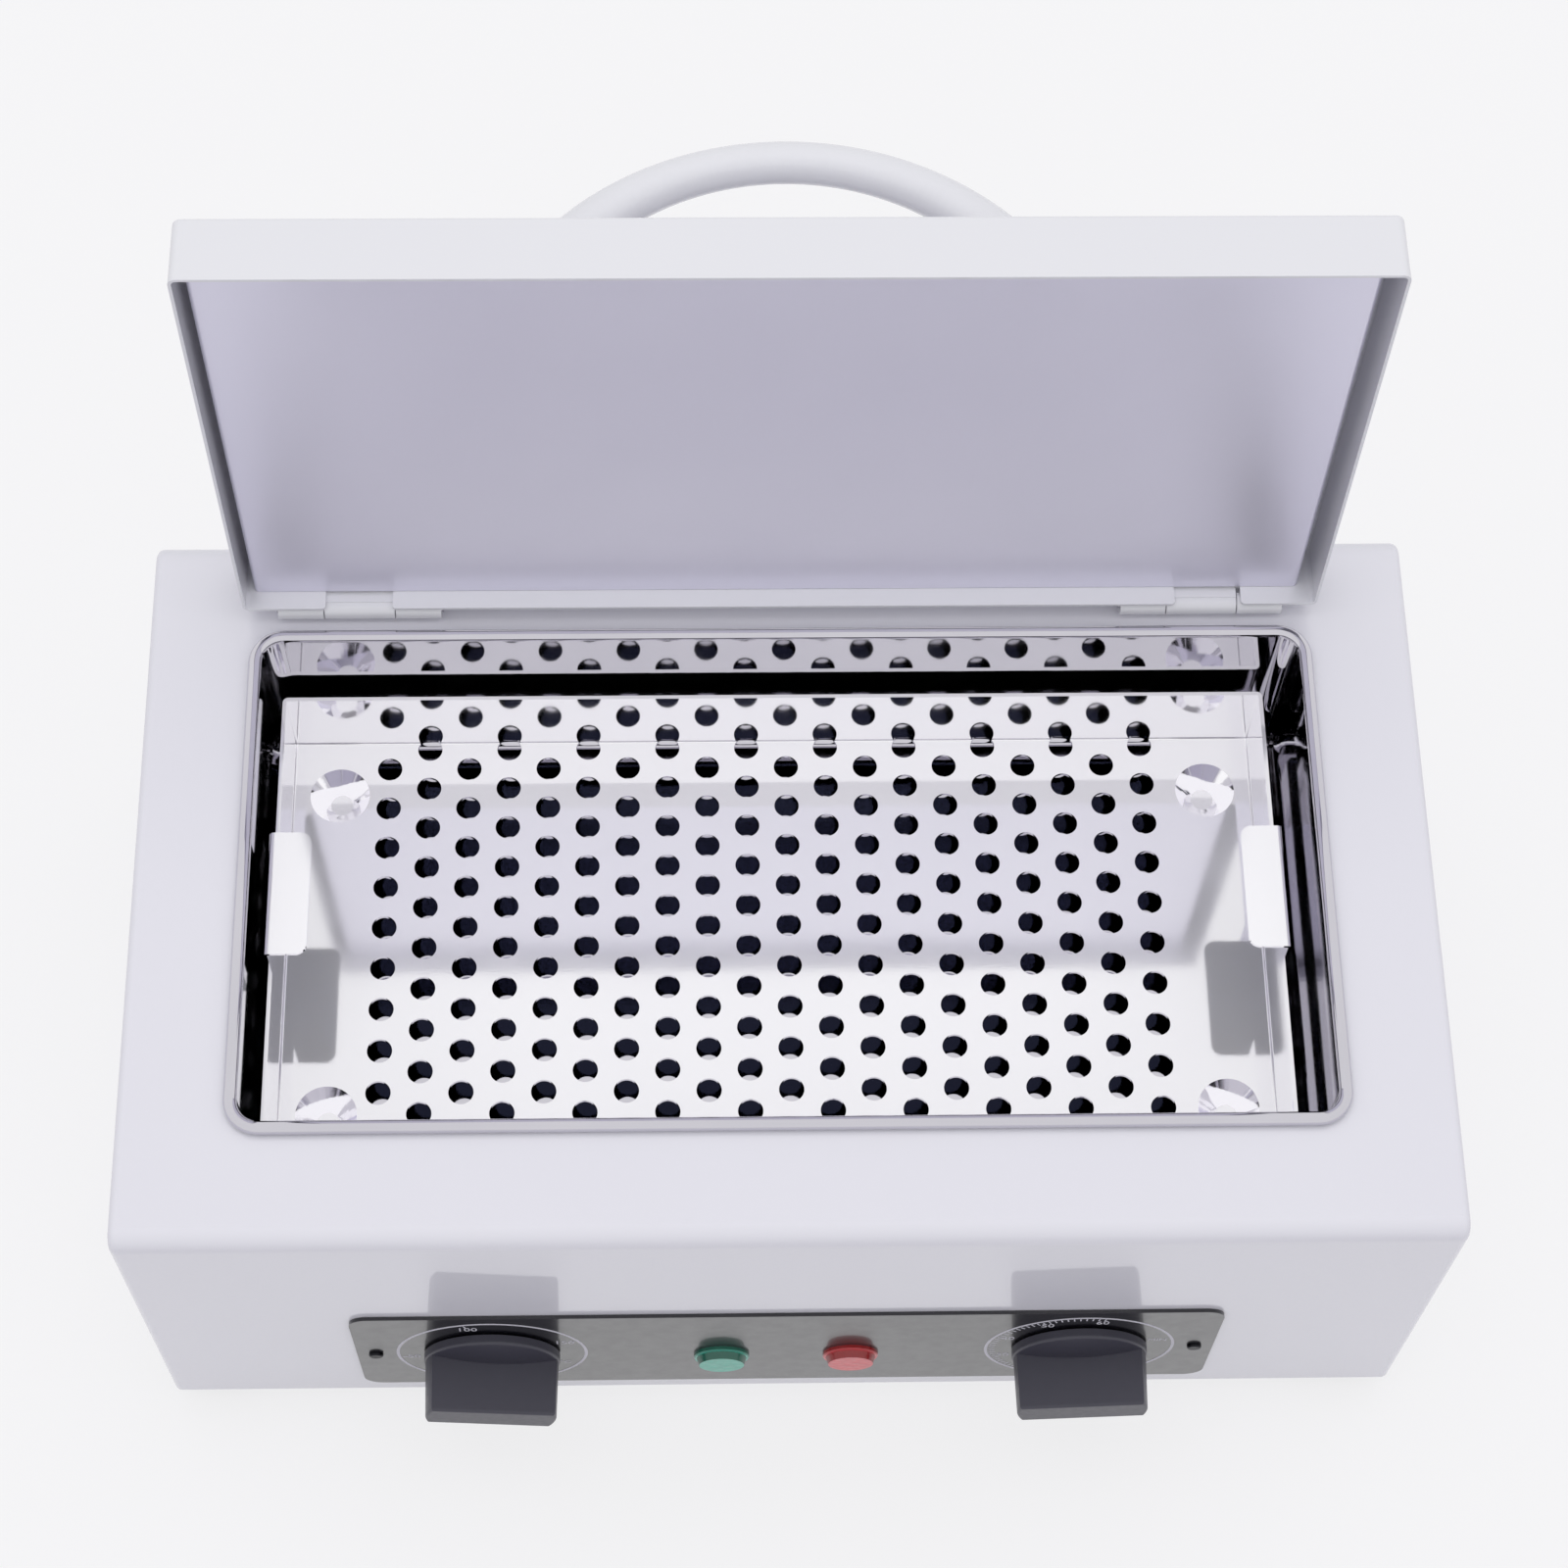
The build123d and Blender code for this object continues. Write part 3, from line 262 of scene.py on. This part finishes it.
def black_panel(name):
    """Satin black anodised panel."""
    panel = Finish(name)
    panel.blend(panel.noise(scale=700, detail=2), colour(16, 15, 22), colour(22, 21, 30))
    panel.rough(panel.noise(scale=300, detail=2), low=0.30, high=0.36)
    panel.bump(panel.noise(scale=2600, detail=2), panel_grain_depth)
    panel.set(Coat_Weight=0.8, Coat_Roughness=0.10, Coat_IOR=1.4)
    return panel.material


def moulded_plastic(name, tone, roughness, grain=0.00001):
    """Moulded plastic with a fine spark-eroded grain."""
    plastic = Finish(name)
    plastic.blend(plastic.noise(scale=60, detail=3), darker(tone, plastic_dark), tone)
    plastic.rough(plastic.noise(scale=500, detail=3), *roughness)
    plastic.bump(plastic.noise(scale=2400, detail=3), grain)
    return plastic.material


def lens_plastic(name, shaded_side_tone, light):
    """Tinted lens: a clear coat over moulded facets, its front painted lighter than its sides as painted
    light.
    """
    lens = Finish(name)
    facets = lens.node("ShaderNodeTexVoronoi")
    facets.inputs["Scale"].default_value = lens_facet_scale
    lens.link(lens.place, facets.inputs["Vector"])
    painted_lit_front = lens.blend(facets.outputs["Distance"], light, darker(light, lens_dark))
    # Painted light: the face turned to the front is painted lighter than the darker sides
    lens.blend(lens.spread(lens.facing("Y"), *lens_painted_front_facing), shaded_side_tone, painted_lit_front)
    lens.set(Coat_Weight=0.5, Coat_Roughness=0.03, Roughness=0.35)
    lens.bump(facets.outputs["Distance"], lens_facet_depth)
    return lens.material


def plain_metal(name, tone, roughness):
    """Plated or bare small metal parts with a fine turned grain."""
    metal = Finish(name)
    metal.set(Metallic=1.0)
    metal.blend(metal.noise(scale=90, detail=2), darker(tone, metal_dark), tone)
    metal.rough(metal.noise(scale=600, detail=3), *roughness)
    metal.bump(metal.noise(scale=1500, detail=2, stretch=(0.2, 1, 1)), turned_depth)
    return metal.material


def fibre(name, tone):
    """Mineral fibre: rough and loose."""
    wool = Finish(name)
    wool.blend(wool.noise(scale=400, detail=4), darker(tone, fibre_dark), tone)
    wool.rough(wool.noise(scale=300, detail=4), low=0.85, high=1.0)
    wool.bump(wool.noise(scale=700, detail=5, stretch=(0.3, 1, 1)), fibre_depth)
    return wool.material


def dial_ink(name):
    """Screen printed pale ink."""
    ink = Finish(name)
    ink.blend(ink.noise(scale=900, detail=3), colour(196, 194, 205), colour(222, 221, 228))
    ink.rough(ink.noise(scale=900, detail=2), low=0.45, high=0.6)
    return ink.material


case_white = powder_coat("case_powder_coat", colour(229, 228, 236))
lid_white = powder_coat("lid_powder_coat", colour(231, 231, 236))
tank_steel = mirror_steel("tank_mirror", (colour(196, 194, 202), colour(208, 206, 213))).material
tray_steel = tray_mirror("tray_mirror")
liner_satin = satin_sheet("liner_satin")
panel_black = black_panel("panel_black")
knob_black = moulded_plastic("knob_black", colour(62, 61, 73), (0.34, 0.40), 0.000003)
body_black = moulded_plastic("body_black", colour(34, 34, 36), (0.4, 0.55))
block_white = moulded_plastic("block_white", colour(225, 224, 215), (0.4, 0.5))
foot_rubber = moulded_plastic("foot_rubber", colour(30, 30, 32), (0.6, 0.8), 0.00003)
green_tint = lens_plastic("lens_green", colour(0, 92, 74), colour(16, 176, 150))
red_tint = lens_plastic("lens_red", colour(150, 0, 8), colour(220, 40, 56))
zinc = plain_metal("zinc_plate", colour(196, 196, 200), (0.25, 0.4))
bright_pin = plain_metal("bright_pin", colour(205, 204, 210), (0.15, 0.25))
copper = plain_metal("sensor_copper", colour(200, 140, 95), (0.25, 0.4))
dark_screw = plain_metal("dark_screw", colour(40, 40, 44), (0.3, 0.45))
mica = moulded_plastic("heater_mica", colour(196, 184, 156), (0.5, 0.7))
mineral_fibre = fibre("mineral_fibre", colour(232, 226, 208))
ink = dial_ink("dial_ink")

finishes = {
    case_white: ["outer_case", "base_plate"],
    lid_white: ["lid_shell", "handle", "hinge_base_left", "hinge_base_right", "hinge_leaf_left",
                "hinge_leaf_right", "base_rivets", "leaf_rivets"],
    tank_steel: ["tank"],
    tray_steel: ["instrument_tray"],
    liner_satin: ["lid_liner"],
    panel_black: ["front_panel"],
    knob_black: ["temperature_knob", "timer_knob"],
    body_black: ["lamp_bodies", "thermostat_body", "timer_body", "cable_gland", "gland_nut"],
    block_white: ["terminal_block"],
    foot_rubber: ["feet"],
    green_tint: ["green_lens"],
    red_tint: ["red_lens"],
    zinc: ["foot_screws", "handle_screws", "shield_nuts", "tank_clips", "heat_shield", "thermostat_nut",
           "timer_nut", "thermal_cutout"],
    bright_pin: ["hinge_pin_left", "hinge_pin_right", "temperature_shaft", "timer_shaft"],
    copper: ["sensor_bulb"],
    dark_screw: ["panel_screws"],
    mica: ["heater_plate"],
    mineral_fibre: ["insulation_pad", "insulation_wrap", "lid_insulation"],
}
for material, nodes in finishes.items():
    for name in nodes:
        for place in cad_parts[name].material_slots:
            place.material = material


def on_panel(x, turn=0.0, radius=0.0):
    """A place on the panel face round a dial, turned clockwise from the top, facing the front."""
    angle = math.radians(turn)
    place = Vector((x + radius * math.sin(angle), panel_face, control_height + radius * math.cos(angle)))
    return Matrix.Translation(place) @ Matrix.Rotation(math.pi / 2, 4, "X")


def add_text(form, words, size, place):
    """Add raised lettering to a mesh, centred on its place."""
    curve = bpy.data.curves.new("words", "FONT")
    curve.body = words
    curve.size = size
    curve.align_x = "CENTER"
    curve.align_y = "CENTER"
    curve.extrude = print_height / 2
    curve.resolution_u = letter_steps
    writer = new_object("words", curve)
    bpy.context.view_layer.update()
    mesh = bpy.data.meshes.new_from_object(writer)
    mesh.transform(place @ Matrix.Translation((0, 0, print_height / 2)))
    form.from_mesh(mesh)
    bpy.data.objects.remove(writer)
    bpy.data.curves.remove(curve)
    bpy.data.meshes.remove(mesh)


def add_bar(form, width, height, place):
    """Add a thin printed rectangle to a mesh."""
    made = bmesh.ops.create_cube(form, size=1.0)
    scale = Matrix.Diagonal((width, height, print_height, 1))
    lift = Matrix.Translation((0, 0, print_height / 2))
    bmesh.ops.transform(form, matrix=place @ lift @ scale, verts=made["verts"])


def add_ring(form, radius, line, place):
    """Add a thin printed ring to a mesh."""
    inner, outer = radius - line / 2, radius + line / 2
    loops = []
    for distance, height in ((inner, 0), (inner, print_height), (outer, print_height), (outer, 0)):
        loop = []
        for step in range(ring_steps):
            angle = 2 * math.pi * step / ring_steps
            point = Vector((distance * math.cos(angle), distance * math.sin(angle), height))
            loop.append(form.verts.new(place @ point))
        loops.append(loop)
    for here, there in zip(loops, loops[1:] + loops[:1]):
        for step in range(ring_steps):
            following = (step + 1) % ring_steps
            form.faces.new((here[step], here[following], there[following], there[step]))


def dial_scale(name, centre_x, numbers, ticks, unit, unit_turn):
    """The printed scale of one dial: ring, ticks, numbers and the unit."""
    form = bmesh.new()
    add_ring(form, ring_radius, ring_line, on_panel(centre_x))
    for turn in ticks:
        place = on_panel(centre_x, turn, ring_radius - ring_line - tick_length / 2)
        add_bar(form, tick_line, tick_length, place @ Matrix.Rotation(-math.radians(turn), 4, "Z"))
    for words, turn in numbers:
        add_text(form, words, digit_size, on_panel(centre_x, turn, digit_radius))
    add_text(form, unit, digit_size * unit_scale, on_panel(centre_x, unit_turn, digit_radius))
    bmesh.ops.recalc_face_normals(form, faces=form.faces)
    mesh = bpy.data.meshes.new(name)
    form.to_mesh(mesh)
    form.free()
    mesh.materials.append(ink)
    made = new_object(name, mesh)
    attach(made, "housing")


temperature_marks = [
    (str(value), lowest_turn + temperature_step_turn * step) for step, value in enumerate(temperatures)
]
dial_scale("temperature_scale", temperature_x, temperature_marks, [turn for _, turn in temperature_marks],
           "°C", celsius_turn)
minute_ticks = [timer_zero_turn + minute_turn * minute for minute in range(timer_minutes + 1)]
numbered_minutes = range(0, timer_minutes + 1, timer_number_step)
minute_marks = [(str(minute), minute_ticks[minute]) for minute in numbered_minutes]
dial_scale("timer_scale", timer_x, minute_marks, minute_ticks, "MIN", minutes_turn)


def seen_directly(tree):
    """1 for the camera's own rays and for those that metal and clear parts send on."""
    path = tree.nodes.new("ShaderNodeLightPath")
    found = path.outputs["Is Camera Ray"]
    for kind in ("Is Glossy Ray", "Is Transmission Ray"):
        either = tree.nodes.new("ShaderNodeMath")
        either.operation = "MAXIMUM"
        tree.links.new(found, either.inputs[0])
        tree.links.new(path.outputs[kind], either.inputs[1])
        found = either.outputs[0]
    return found


def pale_floor():
    """White where it is seen, pale and lit elsewhere, so that it keeps the shadow."""
    floor = bpy.data.meshes.new("floor")
    half = floor_size / 2
    corners = [(-half, -half, 0), (half, -half, 0), (half, half, 0), (-half, half, 0)]
    floor.from_pydata(corners, [], [(0, 1, 2, 3)])
    ground = new_object("floor", floor)
    white = bpy.data.materials.new("floor_white")
    white.use_nodes = True
    tree = white.node_tree
    tree.nodes.clear()
    out = tree.nodes.new("ShaderNodeOutputMaterial")
    seen = tree.nodes.new("ShaderNodeEmission")
    seen.inputs["Color"].default_value = (1, 1, 1, 1)
    seen.inputs["Strength"].default_value = 1.0
    lit = tree.nodes.new("ShaderNodeBsdfDiffuse")
    lit.inputs["Color"].default_value = (*floor_tone, 1)
    share = tree.nodes.new("ShaderNodeMath")
    share.operation = "MULTIPLY"
    share.inputs[1].default_value = floor_glow
    tree.links.new(seen_directly(tree), share.inputs[0])
    mix = tree.nodes.new("ShaderNodeMixShader")
    tree.links.new(share.outputs[0], mix.inputs[0])
    tree.links.new(lit.outputs[0], mix.inputs[1])
    tree.links.new(seen.outputs[0], mix.inputs[2])
    tree.links.new(mix.outputs[0], out.inputs["Surface"])
    floor.materials.append(white)


def surroundings():
    """White where they are seen, and a soft grey gradient where they light the part."""
    world = bpy.data.worlds.new("surroundings")
    bpy.context.scene.world = world
    world.use_nodes = True
    sky = world.node_tree
    background = sky.nodes["Background"]
    background.inputs["Strength"].default_value = 1.0
    direction = sky.nodes.new("ShaderNodeTexCoord")
    split = sky.nodes.new("ShaderNodeSeparateXYZ")
    sky.links.new(direction.outputs["Generated"], split.inputs["Vector"])
    height = sky.nodes.new("ShaderNodeValToRGB")
    height.color_ramp.interpolation = "EASE"
    bands = height.color_ramp.elements
    bands[0].position, bands[0].color = sky_bands[0][0], (*sky_bands[0][1], 1)
    bands[1].position, bands[1].color = sky_bands[-1][0], (*sky_bands[-1][1], 1)
    for position, tone in sky_bands[1:-1]:
        bands.new(position).color = (*tone, 1)
    sky.links.new(split.outputs["Z"], height.inputs["Fac"])
    front = sky.nodes.new("ShaderNodeMapRange")
    front.inputs["From Min"].default_value, front.inputs["From Max"].default_value = -1.0, 1.0
    front.inputs["To Min"].default_value, front.inputs["To Max"].default_value = sky_front, sky_rear
    sky.links.new(split.outputs["Y"], front.inputs["Value"])
    shaded = sky.nodes.new("ShaderNodeVectorMath")
    shaded.operation = "SCALE"
    sky.links.new(height.outputs["Color"], shaded.inputs[0])
    sky.links.new(front.outputs["Result"], shaded.inputs["Scale"])
    white_sky = sky.nodes.new("ShaderNodeMix")
    white_sky.data_type = "RGBA"
    sky.links.new(seen_directly(sky), white_sky.inputs["Factor"])
    sky.links.new(shaded.outputs["Vector"], white_sky.inputs[MIX_A])
    white_sky.inputs[MIX_B].default_value = (1, 1, 1, 1)
    sky.links.new(white_sky.outputs[MIX_RESULT], background.inputs["Color"])


def soft_light():
    """One soft light overhead, which the metal doesn't mirror."""
    light = bpy.data.lights.new("overhead", "AREA")
    light.shape = "RECTANGLE"
    light.size, light.size_y = overhead_size
    light.energy = overhead_power
    lamp = new_object("overhead", light)
    lamp.visible_glossy = False
    lamp.location = overhead_place
    beam = Vector(overhead_target) - Vector(overhead_place)
    lamp.rotation_euler = beam.to_track_quat("-Z", "Y").to_euler()


def photo_camera():
    """The camera of the photograph."""
    data = bpy.data.cameras.new("camera")
    data.sensor_width = camera_sensor
    data.lens = camera_lens
    view = new_object("camera", data)
    view.location = camera_place
    view.rotation_euler = [math.radians(v) for v in camera_turn]
    bpy.context.scene.camera = view


pale_floor()
surroundings()
soft_light()
photo_camera()
bpy.context.scene.view_settings.view_transform = "Standard"
